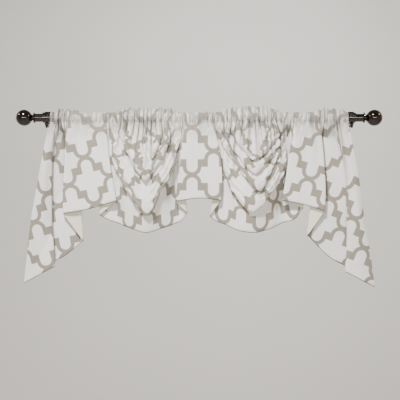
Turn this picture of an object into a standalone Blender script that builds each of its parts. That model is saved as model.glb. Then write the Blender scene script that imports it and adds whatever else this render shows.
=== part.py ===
"""A lined window valance with two swags and two tails, gathered on a curtain rod.

Metres, +Z up, front of the valance towards -Y.  The origin is on the wall plane,
midway between the brackets, at the height of the rod's axis.  The cloth tables
are in millimetres: x runs along the rod, f is the distance forward from the
wall, and z is the height above the rod's axis.
"""
import math
from collections import namedtuple

import bmesh
import bpy
import numpy as np
from mathutils import Matrix, Vector

MM = 0.001

# ---------------------------------------------------------------- driving sizes
ROD_RADIUS = 15.5
ROD_FORWARD = 90.0
ROD_END = 609.2
ROUND_SIDES = 22
BRACKET_X = 568.0
PLATE_RADIUS = 30.0
PLATE_THICK = 4.0
ARM_RADIUS = 6.0
CRADLE_WIDTH = 24.0
CRADLE_THICK = 3.0
CRADLE_FRONT_TOP = 17.0
CRADLE_BACK_TOP = 25.0
CRADLE_STEPS = 12
ARM_ROOT = 4.0
PLATE_EDGE = 1.0
FIT_GAP = 0.4
PART_GAP = 0.3
FINIAL_BALL_RADIUS = 30.5
FINIAL_BALL_AT = 42.0
FINIAL_NECK_RADIUS = 10.0
FINIAL_TIP_ANGLE = math.radians(176)
FINIAL_STEPS = 8
THUMB_SCREW_SIDES = 12

FACE_THICK = 1.5
LINING_THICK = 1.0
LINING_GAP = 1.0
STITCH_DROP = 21.0
STITCH_FORWARD = 105.0
LAYER_FORWARD = {"front": 114.0, "middle": 100.0, "back": 86.0}
MIDDLE_LEAN = {"front": 3.0, "middle": 0.0, "back": -3.0}
LAYERS_PART_BY = 0.12
FOLD_SOFTNESS = 5.0

# ------------------------------------------------------------ fineness of the cloth
# The cloth is worked out on a fine grid.  The solids keep some of its columns,
# closer together where it turns, and the rows at these shares of the way from the
# pocket stitching to the hem.  Across a swag the rows run along the drapes, never
# closer than a set share.
GRID_STEP = 1.0
GRID_ROWS = 80
COLUMNS = 88
EVEN_SPACING = 34.0
TURN_PER_COLUMN = 0.6
CLOTH_ROWS = [0, 0.05, 0.10, 0.15, 0.20, 0.25, 0.31, 0.37, 0.44, 0.52, 0.62, 0.74, 0.87, 1]
CLOSEST_ROWS = 0.012
LINING_TOP_SHARE = 0.3
WIDTH_ROWS = [0.5, 0.75, 1]
FOLDED_FROM_ROW = 4
SHARP_ANGLE = math.radians(78)
SHORTEST = 1e-9

Finish = namedtuple("Finish", "colour roughness metallic")
DARK_METAL = Finish((0.045, 0.036, 0.032), 0.28, 1.0)
POLISHED_METAL = Finish((0.045, 0.036, 0.032), 0.2, 1.0)
PRINTED_COTTON = Finish((0.72, 0.70, 0.67), 0.9, 0.0)
CREAM_LINING = Finish((0.80, 0.78, 0.62), 0.9, 0.0)

# ------------------------------------------------------------- turned metal parts
# Rings of a turned part: radius, and how far along its axis.
Ring = namedtuple("Ring", "radius along")
FINIAL_COLLAR = [
    Ring(11.0, 0.0),
    Ring(17.0, 0.0),
    Ring(20.5, 2.0),
    Ring(20.5, 5.0),
    Ring(17.0, 7.0),
    Ring(FINIAL_NECK_RADIUS, 8.5),
]
THUMB_SCREW = [
    Ring(2.5, -19.0),
    Ring(4.0, -17.5),
    Ring(6.5, -5.0),
    Ring(6.5, 0.0),
]

# ------------------------------------------------------------------ cloth lines
# Lines run down the cloth from the pocket stitching to the hem, in the order of
# the cloth's width.  A line whose two layers differ is a fold, where the cloth
# turns from one layer to the next; the other lines only guide a panel.
Line = namedtuple("Line", "name x_rod x_mid x_hem z_hem before after belly_mid belly_hem")

LEFT_TAIL = [
    Line("outer_edge", -552, -614, -651, -615, "front", "front", -14, -20),
    Line("outer_crown", -543, -576, -592, -584, "front", "front", 4, 0),
    Line("outer_fold", -538, -544, -532, -551, "front", "middle", 0, 0),
    Line("hidden_fold", -524, -563, -560, -545, "middle", "back", 0, 0),
    Line("under_panel", -516, -506, -492, -509, "back", "back", 3, 0),
    Line("under_fold", -506, -456, -431, -457, "back", "middle", 0, 0),
    Line("inner_fold", -482, -500, -504, -357, "middle", "front", 0, 0),
]
LEFT_FLAT = [
    Line("flat_mid", -410, -410, -400, -338, "front", "front", -5, -6),
    Line("flat_fold", -346, -329, -308, -310, "front", "middle", 0, 0),
]
LEFT_SWAG_START = Line("swag_fold", -330, -350, -371, -362, "middle", "back", 0, 0)
LEFT_SWAG_END = Line("swag_fold", -66, -58, -45, -352, "back", "middle", 0, 0)
CENTRE = [
    Line("centre_fold", -50, -71, -89, -312, "middle", "front", 0, 0),
    Line("centre_mid", 0, 2, 0, -300, "front", "front", -5, -7),
    Line("centre_fold", 44, 84, 80, -308, "front", "middle", 0, 0),
]
RIGHT_SWAG_START = Line("swag_fold", 60, 58, 38, -366, "middle", "back", 0, 0)
RIGHT_SWAG_END = Line("swag_fold", 337, 365, 386, -336, "back", "middle", 0, 0)
RIGHT_FLAT = [
    Line("flat_fold", 353, 328, 306, -308, "middle", "front", 0, 0),
    Line("flat_mid", 398, 400, 385, -323, "front", "front", -5, -6),
    Line("inner_fold", 443, 465, 464, -347, "front", "middle", 0, 0),
]
RIGHT_TAIL = [
    Line("under_fold", 463, 425, 403, -437, "middle", "back", 0, 0),
    Line("under_panel", 480, 496, 482, -517, "back", "back", 3, 0),
    Line("hidden_fold", 503, 560, 560, -560, "back", "middle", 0, 0),
    Line("outer_fold", 519, 543, 542, -573, "middle", "front", 0, 0),
    Line("outer_crown", 535, 580, 600, -603, "front", "front", 4, 0),
    Line("outer_edge", 552, 608, 652, -630, "front", "front", -14, -20),
]

# Lines of a swag between its two side folds: the share of its width on the rod
# and where its hem hangs.
HemPoint = namedtuple("HemPoint", "share x_hem z_hem")
LEFT_SWAG_HEM = [
    HemPoint(0.10, -346, -377),
    HemPoint(0.24, -305, -392),
    HemPoint(0.38, -256, -410),
    HemPoint(0.52, -195, -426),
    HemPoint(0.66, -140, -412),
    HemPoint(0.80, -90, -394),
    HemPoint(0.91, -58, -376),
]
RIGHT_SWAG_HEM = [
    HemPoint(0.09, 52, -378),
    HemPoint(0.22, 104, -400),
    HemPoint(0.36, 152, -421),
    HemPoint(0.50, 204, -426),
    HemPoint(0.64, 256, -414),
    HemPoint(0.78, 312, -391),
    HemPoint(0.91, 365, -370),
]
# how far a swag's cloth pouches forward half way down and at its hem, and how
# wide the sides are over which it comes forward
SWAG_POUCH_MID = 50.0
SWAG_POUCH_HEM = 34.0
SWAG_SIDE_WIDTH = 120.0
COVER_CLEAR = 7.0

# A swag lies between two side folds, which the flats beside it cover.
Swag = namedtuple("Swag", "start hem end left_cover right_cover")
LEFT_SWAG = Swag(LEFT_SWAG_START, LEFT_SWAG_HEM, LEFT_SWAG_END, LEFT_FLAT[-1], CENTRE[0])
RIGHT_SWAG = Swag(RIGHT_SWAG_START, RIGHT_SWAG_HEM, RIGHT_SWAG_END, CENTRE[-1], RIGHT_FLAT[0])
SECTIONS = [
    LEFT_TAIL,
    LEFT_FLAT,
    [LEFT_SWAG_START],
    LEFT_SWAG,
    [LEFT_SWAG_END],
    CENTRE,
    [RIGHT_SWAG_START],
    RIGHT_SWAG,
    [RIGHT_SWAG_END],
    RIGHT_FLAT,
    RIGHT_TAIL,
]

# Folds of a swag, from the top down.  Each hangs as a V from two points near the
# rod to its lowest point; width is how rounded the V is, roll how far the cloth
# above it rolls forward over the fold, and row which cloth row runs along it.
Drape = namedtuple("Drape", "x_left z_left x_low z_low x_right z_right width roll row")
LEFT_SWAG_DRAPES = [
    Drape(-213, -16, -178, -154, -127, -28, 20, 17, 4),
    Drape(-298, -40, -185, -239, -89, -34, 26, 22, 7),
    Drape(-334, -121, -193, -347, -78, -121, 34, 22, 10),
]
RIGHT_SWAG_DRAPES = [
    Drape(100, -30, 212, -165, 310, -34, 34, 20, 4),
    Drape(84, -70, 214, -245, 325, -60, 34, 24, 7),
    Drape(62, -140, 205, -330, 345, -130, 44, 24, 10),
]
DRAPED_SWAGS = [(LEFT_SWAG, LEFT_SWAG_DRAPES), (RIGHT_SWAG, RIGHT_SWAG_DRAPES)]
# how far below a fold the cloth takes to fall back, how much room a roll needs
# above it as a share of its depth, and the swell at which the drapes are full
DRAPE_CREASE = 25.0
ROLL_NEEDS_ROOM = 0.6
DRAPES_FULL_BY_SWELL = 0.65

# Height of the gathered heading above the rod's axis, along the rod.
Heading = namedtuple("Heading", "x top")
HEADINGS = [
    Heading(-552, 19),
    Heading(-530, 21),
    Heading(-505, 31),
    Heading(-470, 31),
    Heading(-440, 18),
    Heading(-310, 18),
    Heading(-265, 31),
    Heading(-110, 33),
    Heading(-75, 18),
    Heading(60, 18),
    Heading(100, 31),
    Heading(190, 40),
    Heading(250, 38),
    Heading(300, 19),
    Heading(415, 18),
    Heading(440, 29),
    Heading(515, 31),
    Heading(554, 19),
]

# The rod pocket about the rod's axis, from its stitched end up the back and down
# the front: forward and z, None at the top of the heading, and how much of the
# gathers' depth puffs it out.
Turn = namedtuple("Turn", "forward z puffed")
POCKET = [
    Turn(11.5, -21, 0),
    Turn(-7, -18, 0),
    Turn(-16.9, -8, 0),
    Turn(-16.9, 8, -0.4),
    Turn(-8.5, None, -0.2),
    Turn(8.5, None, 0.2),
    Turn(17.3, 8, 0.5),
    Turn(17.3, -8, 0.8),
]

# Gathers below the rod: where each group starts and ends along the rod, how many
# pleats it has, how deep they are and how far down they fade.  Each group grows
# and dies out over the end parts of its width, one in GATHER_ENDS long.
Gather = namedtuple("Gather", "x_start x_end pleats depth fade")
GATHERS = [
    Gather(-478, -436, 2, 5, 120),
    Gather(-312, -84, 6, 8, 80),
    Gather(78, 320, 6, 8, 80),
    Gather(398, 438, 2, 5, 100),
]
GATHER_ENDS = 6.0


def smooth(values):
    """A soft step from 0 to 1 as the values go from 0 to 1."""
    held = np.clip(values, 0.0, 1.0)
    return held * held * (3.0 - 2.0 * held)


def through(rod, mid, hem, down):
    """The curve that takes three values at the rod, half way down and at the hem."""
    return rod * (1 - down) * (1 - 2 * down) + mid * 4 * down * (1 - down) + hem * down * (2 * down - 1)


def layer_forward(layer, partner, down):
    """How far forward a layer hangs at its fold with its partner: they part just below the rod."""
    place = LAYER_FORWARD[layer]
    if layer == "middle":
        place += MIDDLE_LEAN[partner]
    return STITCH_FORWARD + (place - STITCH_FORWARD) * smooth(down / LAYERS_PART_BY)


def line_points(line, down):
    """The points that a line gives to the row this far down: two where the cloth folds."""
    x = line_x(line, down)
    z = -STITCH_DROP + (line.z_hem + STITCH_DROP) * down
    belly = through(0.0, line.belly_mid, line.belly_hem, down)
    sides = [(line.before, line.after), (line.after, line.before)]
    if line.before == line.after:
        sides = sides[:1]
    return [(x, layer_forward(layer, partner, down) + belly, z) for layer, partner in sides]


def line_x(line, down):
    """Where a line is along the rod, this far down."""
    return through(line.x_rod, line.x_mid, line.x_hem, down)


def swag_swell(swag, x, down):
    """How far out of its side folds a swag has come at x: 0 behind the flats that cover it, to 1."""
    clear = np.minimum(x - line_x(swag.left_cover, down), line_x(swag.right_cover, down) - x)
    return np.sin(0.5 * math.pi * np.clip((clear - COVER_CLEAR) / SWAG_SIDE_WIDTH, 0.0, 1.0))


def swag_points(swag, down):
    """The points that a swag gives to the row this far down, between its two side folds."""
    points = []
    back = layer_forward("back", "back", down)
    for point in swag.hem:
        x_rod = swag.start.x_rod + (swag.end.x_rod - swag.start.x_rod) * point.share
        x = through(x_rod, 0.5 * (x_rod + point.x_hem), point.x_hem, down)
        pouch = STITCH_FORWARD - back + through(0.0, SWAG_POUCH_MID, SWAG_POUCH_HEM, down)
        forward = back + pouch * swag_swell(swag, x, down)
        points.append((x, forward, -STITCH_DROP + (point.z_hem + STITCH_DROP) * down))
    return points


def row_points(down):
    """All guide points of one row, across the cloth."""
    points = []
    for section in SECTIONS:
        if isinstance(section, Swag):
            points += swag_points(section, down)
        else:
            for line in section:
                points += line_points(line, down)
    return points


def row_bends():
    """For each guide point, whether the cloth bends sharply there."""
    bends = []
    for section in SECTIONS:
        if isinstance(section, Swag):
            bends += [False] * len(section.hem)
        else:
            for line in section:
                bends += [False] if line.before == line.after else [True, True]
    return np.array(bends)


def across(knots, points, bends, places):
    """Points of a cubic curve across the cloth, which turns sharply where it bends."""
    gaps = np.diff(knots)
    slopes = np.diff(points, axis=0) / gaps[:, None]
    before = np.vstack([slopes[:1], slopes])
    after = np.vstack([slopes, slopes[-1:]])
    share = np.concatenate([[0.5], gaps[:-1] / (gaps[:-1] + gaps[1:]), [0.5]])[:, None]
    even = before * (1 - share) + after * share
    arrive = np.where(bends[:, None], before, even)
    leave = np.where(bends[:, None], after, even)
    at = np.clip(np.searchsorted(knots, places, side="right") - 1, 0, len(gaps) - 1)
    u = ((places - knots[at]) / gaps[at])[:, None]
    step = gaps[at][:, None]
    return (
        points[at] * (1 + 2 * u) * (1 - u) ** 2
        + leave[at] * step * u * (1 - u) ** 2
        + points[at + 1] * u * u * (3 - 2 * u)
        + arrive[at + 1] * step * u * u * (u - 1)
    )


def rounded(rows):
    """The rows with their folds rounded, by a blur along the cloth that keeps its ends."""
    spread = FOLD_SOFTNESS / GRID_STEP
    reach = int(4 * spread)
    kernel = np.exp(-0.5 * (np.arange(-reach, reach + 1) / spread) ** 2)
    kernel /= kernel.sum()
    lead = 2 * rows[:, :1] - rows[:, reach:0:-1]
    trail = 2 * rows[:, -1:] - rows[:, -2 : -reach - 2 : -1]
    padded = np.concatenate([lead, rows, trail], axis=1)
    return np.array(
        [np.stack([np.convolve(row[:, k], kernel, "valid") for k in range(3)], axis=1) for row in padded]
    )


def base_cloth(downs):
    """The cloth without its drapes: rows of (x, forward, z) every GRID_STEP across its width."""
    probes = np.array([row_points(down) for down in WIDTH_ROWS])[:, :, :2]
    widths = np.linalg.norm(np.diff(probes, axis=1), axis=2).mean(axis=0)
    knots = np.concatenate([[0.0], np.cumsum(widths)])
    places = np.arange(0.0, knots[-1], GRID_STEP)
    bends = row_bends()
    rows = [across(knots, np.array(row_points(down)), bends, places) for down in downs]
    return rounded(np.array(rows))


def print_side(rows):
    """Unit normals of the printed side, in (x, forward, z)."""
    normals = np.cross(np.gradient(rows, axis=1), np.gradient(rows, axis=0))
    return normals / np.maximum(np.linalg.norm(normals, axis=2, keepdims=True), SHORTEST)


def drape_line(drape, x):
    """Height of one drape's V above each x."""
    away = x - drape.x_low
    left = math.hypot(drape.x_low - drape.x_left, drape.width) - drape.width
    right = math.hypot(drape.x_right - drape.x_low, drape.width) - drape.width
    bend = np.sqrt(away * away + drape.width**2) - drape.width
    rise_left = (drape.z_left - drape.z_low) / left
    rise_right = (drape.z_right - drape.z_low) / right
    return drape.z_low + np.where(away < 0, rise_left, rise_right) * bend


def drape_relief(drapes, x, z):
    """How far the drapes roll each row of a swag forward, at full depth."""
    relief = np.zeros_like(x)
    top = 0
    for drape in drapes:
        crest = x[drape.row]
        slope = (drape_line(drape, crest + 1.0) - drape_line(drape, crest - 1.0)) / 2.0
        room = (z[top] - z[drape.row]) / np.sqrt(1 + slope * slope)
        roll = drape.roll * (1 - np.exp(-room / (ROLL_NEEDS_ROOM * drape.roll)))
        rising = smooth(np.linspace(0.0, 1.0, drape.row - top + 1))
        relief[top : drape.row + 1] = roll * rising[:, None]
        top = drape.row + 1
    return relief


def gathers(x_rod, below):
    """Depth of the pleats at each place along the rod, fading below it."""
    depth = np.zeros(np.broadcast(x_rod, below).shape)
    for gather in GATHERS:
        share = (x_rod - gather.x_start) / (gather.x_end - gather.x_start)
        inside = smooth(GATHER_ENDS * share) * smooth(GATHER_ENDS * (1 - share))
        wave = 0.5 - 0.5 * np.cos(2 * math.pi * gather.pleats * share)
        depth += gather.depth * wave * inside * np.exp(-below / gather.fade)
    return depth


def pocket_rows(x_rod):
    """The rod pocket, from its stitched end up the back of the rod and down its front."""
    top = np.interp(x_rod, [h.x for h in HEADINGS], [h.top for h in HEADINGS])
    puff = gathers(x_rod, 0.0)
    rows = []
    for turn in POCKET:
        forward = ROD_FORWARD + turn.forward + turn.puffed * puff
        z = top if turn.z is None else np.full_like(x_rod, turn.z)
        rows.append(np.stack([x_rod, forward, z], axis=1))
    return np.array(rows)


def across_swag(swag, grid):
    """The columns of the fine grid between a swag's two side folds."""
    x_rod = grid[0, :, 0]
    return np.nonzero((x_rod > swag.start.x_rod) & (x_rod < swag.end.x_rod))[0]


def draped(swag, x_mid):
    """How much a swag's drapes take hold of its columns, from where they are half way down."""
    return smooth(swag_swell(swag, x_mid, 0.5) / DRAPES_FULL_BY_SWELL)


def row_downs(grid):
    """How far down each row lies at each column: level, but along the drapes across a swag."""
    level = np.array(CLOTH_ROWS)
    grid_downs = np.linspace(0.0, 1.0, GRID_ROWS + 1)
    downs = np.repeat(level[:, None], grid.shape[1], axis=1)
    for swag, drapes in DRAPED_SWAGS:
        for column in across_swag(swag, grid):
            x, z = grid[:, column, 0], grid[:, column, 2]
            shares, places = [0.0], [0.0]
            for drape in drapes:
                under = drape_line(drape, x) - z
                shares += [CLOTH_ROWS[drape.row], CLOTH_ROWS[drape.row + 1]]
                places += [np.interp(reach, under, grid_downs) for reach in (0.0, DRAPE_CREASE)]
            along = np.interp(level, shares + [1.0], places + [1.0])
            downs[:, column] += (along - level) * draped(swag, x[GRID_ROWS // 2])
    count = np.arange(len(level))[:, None] * CLOSEST_ROWS
    downs = np.maximum.accumulate(downs - count) + count
    return np.minimum(downs, 1.0 - count[::-1])


def at_downs(grid, downs):
    """The fine grid's values at each column's own places down."""
    place = downs * GRID_ROWS
    low = np.minimum(place.astype(int), GRID_ROWS - 1)
    share = (place - low)[:, :, None]
    columns = np.arange(grid.shape[1])
    return grid[low, columns] * (1 - share) + grid[low + 1, columns] * share


def cloth_body():
    """The undraped cloth's middle points and normals at its rows."""
    grid = base_cloth(np.linspace(0.0, 1.0, GRID_ROWS + 1))
    downs = row_downs(grid)
    normals = at_downs(print_side(grid), downs)
    return at_downs(grid, downs), normals / np.linalg.norm(normals, axis=2, keepdims=True)


def face_cloth():
    """The printed cloth's middle points and normals: its pocket, then its body down to the hem."""
    body, normals = cloth_body()
    x, z = body[:, :, 0], body[:, :, 2]
    x_rod = body[0, :, 0]
    relief = gathers(x_rod, -STITCH_DROP - z)
    for swag, drapes in DRAPED_SWAGS:
        within = across_swag(swag, body)
        hold = draped(swag, 0.5 * (x_rod + x[-1])[within])
        relief[:, within] += drape_relief(drapes, x[:, within], z[:, within]) * hold
    body = body + normals * relief[:, :, None]
    rows = np.concatenate([pocket_rows(x_rod), body])
    return rows, print_side(rows)


def lining_cloth():
    """The lining's middle points, just behind the face and from below its pocket, and its normals."""
    body, normals = cloth_body()
    rows = body - normals * (0.5 * FACE_THICK + LINING_GAP + 0.5 * LINING_THICK)
    rows[0] += (rows[1] - rows[0]) * LINING_TOP_SHARE
    return rows, normals


def chosen_columns():
    """Which of the cloth's fine columns the solids keep: closer together where it folds."""
    body = base_cloth(CLOTH_ROWS)
    steps = np.diff(body[FOLDED_FROM_ROW:, :, :2], axis=1)
    steps /= np.maximum(np.linalg.norm(steps, axis=2, keepdims=True), SHORTEST)
    turning = np.linalg.norm(np.diff(steps, axis=1), axis=2).mean(axis=0)
    cost = np.cumsum(GRID_STEP / EVEN_SPACING + turning / TURN_PER_COLUMN)
    wanted = np.linspace(0.0, cost[-1], COLUMNS)
    columns = np.interp(wanted, cost, np.arange(len(cost)))
    columns[-1] = body.shape[1] - 1
    return np.unique(np.rint(columns).astype(int))


def with_gathers(columns):
    """The chosen columns, with those of each group of gathers moved onto its ridges and troughs."""
    x_rod = base_cloth([0.0])[0, :, 0]
    for gather in GATHERS:
        outside = columns[(x_rod[columns] < gather.x_start) | (x_rod[columns] > gather.x_end)]
        turns = np.linspace(gather.x_start, gather.x_end, 2 * gather.pleats + 1)
        columns = np.union1d(outside, np.searchsorted(x_rod, turns))
    return columns


def sheet(name, rows, normals, thick, columns, finish):
    """A closed sheet of even thickness about a grid of middle points."""
    middle, out = rows[:, columns], normals[:, columns]
    solid = bmesh.new()

    def skin(offset):
        points = (middle + out * offset) * MM
        return [[solid.verts.new((x, -forward, z)) for x, forward, z in row] for row in points]

    front, back = skin(0.5 * thick), skin(-0.5 * thick)
    for i in range(len(front) - 1):
        for j in range(len(columns) - 1):
            solid.faces.new((front[i][j], front[i + 1][j], front[i + 1][j + 1], front[i][j + 1]))
            solid.faces.new((back[i][j], back[i][j + 1], back[i + 1][j + 1], back[i + 1][j]))
    for i in range(len(front) - 1):
        solid.faces.new((front[i][0], back[i][0], back[i + 1][0], front[i + 1][0]))
        solid.faces.new((front[i][-1], front[i + 1][-1], back[i + 1][-1], back[i][-1]))
    for j in range(len(columns) - 1):
        solid.faces.new((front[0][j], front[0][j + 1], back[0][j + 1], back[0][j]))
        solid.faces.new((front[-1][j], back[-1][j], back[-1][j + 1], front[-1][j + 1]))
    finished(name, solid, finish)


def finished(name, solid, finish):
    """The object of a shape, shaded smooth, with its own material."""
    mesh = bpy.data.meshes.new(name)
    solid.to_mesh(mesh)
    solid.free()
    mesh.shade_smooth()
    mesh.set_sharp_from_angle(angle=SHARP_ANGLE)
    material = bpy.data.materials.new(name)
    material.use_nodes = True
    shader = material.node_tree.nodes["Principled BSDF"]
    shader.inputs["Base Color"].default_value = (*finish.colour, 1.0)
    shader.inputs["Roughness"].default_value = finish.roughness
    shader.inputs["Metallic"].default_value = finish.metallic
    mesh.materials.append(material)
    thing = bpy.data.objects.new(name, mesh)
    bpy.context.scene.collection.objects.link(thing)
    return thing


def turned(profile, sides):
    """A solid turned about +Z from rings of a radius and a place along it, bottom to top."""
    solid = bmesh.new()
    angles = [2 * math.pi * k / sides for k in range(sides)]
    rings = []
    for ring in profile:
        points = [
            Vector((ring.radius * math.cos(a), ring.radius * math.sin(a), ring.along))
            for a in angles
        ]
        rings.append([solid.verts.new(point * MM) for point in points])
    for low, high in zip(rings, rings[1:]):
        for k in range(sides):
            n = (k + 1) % sides
            solid.faces.new((low[k], low[n], high[n], high[k]))
    solid.faces.new(reversed(rings[0]))
    solid.faces.new(rings[-1])
    return solid


def along_x(side):
    """The turn that points a turned solid's +Z away from the middle along the rod."""
    return Matrix.Rotation(math.radians(90.0 * side), 4, "Y")


def rod():
    """The rod, from one finial's collar to the other's."""
    profile = [Ring(ROD_RADIUS, -ROD_END), Ring(ROD_RADIUS, ROD_END)]
    thing = finished("rod", turned(profile, ROUND_SIDES), DARK_METAL)
    thing.matrix_world = Matrix.Translation((0, -ROD_FORWARD * MM, 0)) @ along_x(1)


def finial(name, side):
    """A ball finial with its neck and collar ring."""
    profile = list(FINIAL_COLLAR)
    start = math.asin(FINIAL_NECK_RADIUS / FINIAL_BALL_RADIUS)
    for k in range(FINIAL_STEPS + 1):
        angle = start + (FINIAL_TIP_ANGLE - start) * k / FINIAL_STEPS
        along = FINIAL_BALL_AT - FINIAL_BALL_RADIUS * math.cos(angle)
        profile.append(Ring(FINIAL_BALL_RADIUS * math.sin(angle), along))
    thing = finished(name, turned(profile, ROUND_SIDES), POLISHED_METAL)
    place = Vector((side * (ROD_END + PART_GAP) * MM, -ROD_FORWARD * MM, 0))
    thing.matrix_world = Matrix.Translation(place) @ along_x(side)


def cradle_outline():
    """The open cradle seen along the rod: (forward, z) about the rod's axis, anticlockwise."""
    inner = ROD_RADIUS + FIT_GAP
    outer = inner + CRADLE_THICK
    angles = [math.pi + math.pi * k / CRADLE_STEPS for k in range(CRADLE_STEPS + 1)]
    outside = [(outer * math.cos(a), outer * math.sin(a)) for a in angles]
    inside = [(inner * math.cos(a), inner * math.sin(a)) for a in reversed(angles)]
    front = [(outer, CRADLE_FRONT_TOP), (inner, CRADLE_FRONT_TOP)]
    back = [(-inner, CRADLE_BACK_TOP), (-outer, CRADLE_BACK_TOP)]
    return outside + front + inside + back


def bracket(name, side):
    """A wall plate, its arm and the cradle that the rod lies in, as one piece."""
    cradle = bmesh.new()
    ends = []
    for x in (-0.5 * CRADLE_WIDTH, 0.5 * CRADLE_WIDTH):
        ends.append(
            [
                cradle.verts.new((x * MM, -(ROD_FORWARD + forward) * MM, z * MM))
                for forward, z in cradle_outline()
            ]
        )
    count = len(ends[0])
    for k in range(count):
        n = (k + 1) % count
        cradle.faces.new((ends[0][k], ends[1][k], ends[1][n], ends[0][n]))
    cradle.faces.new(reversed(ends[0]))
    cradle.faces.new(ends[1])
    bmesh.ops.recalc_face_normals(cradle, faces=cradle.faces)
    strap = finished(name + "_cradle", cradle, DARK_METAL)
    strap.hide_render = True
    strap.display_type = "WIRE"

    arm_end = ROD_FORWARD - ROD_RADIUS - FIT_GAP - 0.5 * CRADLE_THICK
    profile = [
        Ring(PLATE_RADIUS, 0.0),
        Ring(PLATE_RADIUS, PLATE_THICK - PLATE_EDGE),
        Ring(PLATE_RADIUS - PLATE_EDGE, PLATE_THICK),
        Ring(ARM_RADIUS + ARM_ROOT, PLATE_THICK),
        Ring(ARM_RADIUS, PLATE_THICK + ARM_ROOT),
        Ring(ARM_RADIUS, arm_end),
    ]
    thing = finished(name, turned(profile, ROUND_SIDES), DARK_METAL)
    thing.matrix_world = Matrix.Rotation(math.radians(90), 4, "X")
    thing.location.x = side * BRACKET_X * MM
    strap.location.x = side * BRACKET_X * MM
    joined = thing.modifiers.new("cradle", "BOOLEAN")
    joined.operation = "UNION"
    joined.solver = "EXACT"
    joined.object = strap


def thumb_screw(name, side):
    """The screw under a cradle, which narrows to its tip."""
    thing = finished(name, turned(THUMB_SCREW, THUMB_SCREW_SIDES), DARK_METAL)
    top = -(ROD_RADIUS + FIT_GAP + CRADLE_THICK + PART_GAP)
    thing.location = (side * BRACKET_X * MM, -ROD_FORWARD * MM, top * MM)


def main():
    for thing in list(bpy.data.objects):
        bpy.data.objects.remove(thing)
    columns = with_gathers(chosen_columns())
    sheet("valance_face", *face_cloth(), FACE_THICK, columns, PRINTED_COTTON)
    sheet("valance_lining", *lining_cloth(), LINING_THICK, columns, CREAM_LINING)
    rod()
    for end, side in (("left", -1), ("right", 1)):
        finial("finial_" + end, side)
        bracket("bracket_" + end, side)
        thumb_screw("thumb_screw_" + end, side)


main()
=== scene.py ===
"""The visual model of a swag and tail valance on its curtain rod, in one frame with its CAD solids.

The cloth tables are in millimetres: x runs along the rod, forward is the
distance out of the wall, and z is the height above the rod's axis.
"""

import math
from collections import namedtuple

import bmesh
import bpy
import numpy as np
from mathutils import Matrix, Vector


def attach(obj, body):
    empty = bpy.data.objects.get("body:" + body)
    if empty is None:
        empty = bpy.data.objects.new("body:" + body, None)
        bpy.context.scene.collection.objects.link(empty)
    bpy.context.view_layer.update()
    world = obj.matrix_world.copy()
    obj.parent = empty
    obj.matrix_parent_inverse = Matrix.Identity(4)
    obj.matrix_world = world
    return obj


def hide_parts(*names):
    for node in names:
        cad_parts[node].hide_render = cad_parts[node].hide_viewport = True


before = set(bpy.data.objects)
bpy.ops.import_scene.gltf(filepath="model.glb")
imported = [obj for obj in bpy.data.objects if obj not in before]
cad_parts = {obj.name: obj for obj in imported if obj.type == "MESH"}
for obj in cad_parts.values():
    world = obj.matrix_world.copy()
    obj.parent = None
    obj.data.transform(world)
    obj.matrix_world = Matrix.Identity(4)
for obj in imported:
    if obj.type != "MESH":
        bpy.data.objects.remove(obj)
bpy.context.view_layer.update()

MM = 0.001


def table(kind, *rows):
    """A list of records of one kind, from their plain values."""
    return [kind(*row) for row in rows]


# ---- camera
CAMERA_AT = (0.003, -2.7, -0.306)
CAMERA_LENS = 63.1


def in_scene(name, data, material=None):
    """A new object in the scene, of this data, with a mesh's material."""
    if material:
        data.materials.append(material)
    thing = bpy.data.objects.new(name, data)
    bpy.context.scene.collection.objects.link(thing)
    return thing


def add_camera():
    """The camera, level and square to the valance, as in the photograph."""
    camera = bpy.data.cameras.new("camera")
    camera.lens = CAMERA_LENS
    thing = in_scene("camera", camera)
    thing.location = CAMERA_AT
    thing.rotation_euler = (math.radians(90), 0, 0)
    bpy.context.scene.camera = thing


add_camera()

# ---- sizes shared with the CAD
ROD_RADIUS = 15.5
ROD_FORWARD = 90.0
FACE_THICK = 1.5
LINING_THICK = 1.0
LINING_GAP = 1.0
STITCH_DROP = 21.0
STITCH_FORWARD = 105.0
# Where the cloth's layers hang, how far the middle one leans to the one it folds
# into, and the share of the drop by which they have parted.
LAYER_FORWARD = {"front": 114.0, "middle": 100.0, "back": 86.0}
MIDDLE_LEAN = {"front": 3.0, "middle": 0.0, "back": -3.0}
LAYERS_PART_BY = 0.12
# The blur that rounds folds, how many times as far it reaches, where down the drop
# the cloth's width is measured, and the step of its grid.
FOLD_SOFTNESS = 5.0
BLUR_REACH = 4
KNOT_DOWNS = (0.5, 0.75, 1)
GRID_STEP = 1.0
TINY = 1e-9

# Lines run down the cloth from the pocket stitching to the hem, in the order of
# the cloth's width.  A line whose two layers differ is a fold, where the cloth
# turns from one layer to the next; other lines only guide a panel.  Its bellies are
# how far the cloth bulges forward half way down and at the hem, 0 where none is said.
Line = namedtuple("Line", "x_rod x_mid x_hem z_hem before after belly_mid belly_hem", defaults=(0, 0))

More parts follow.
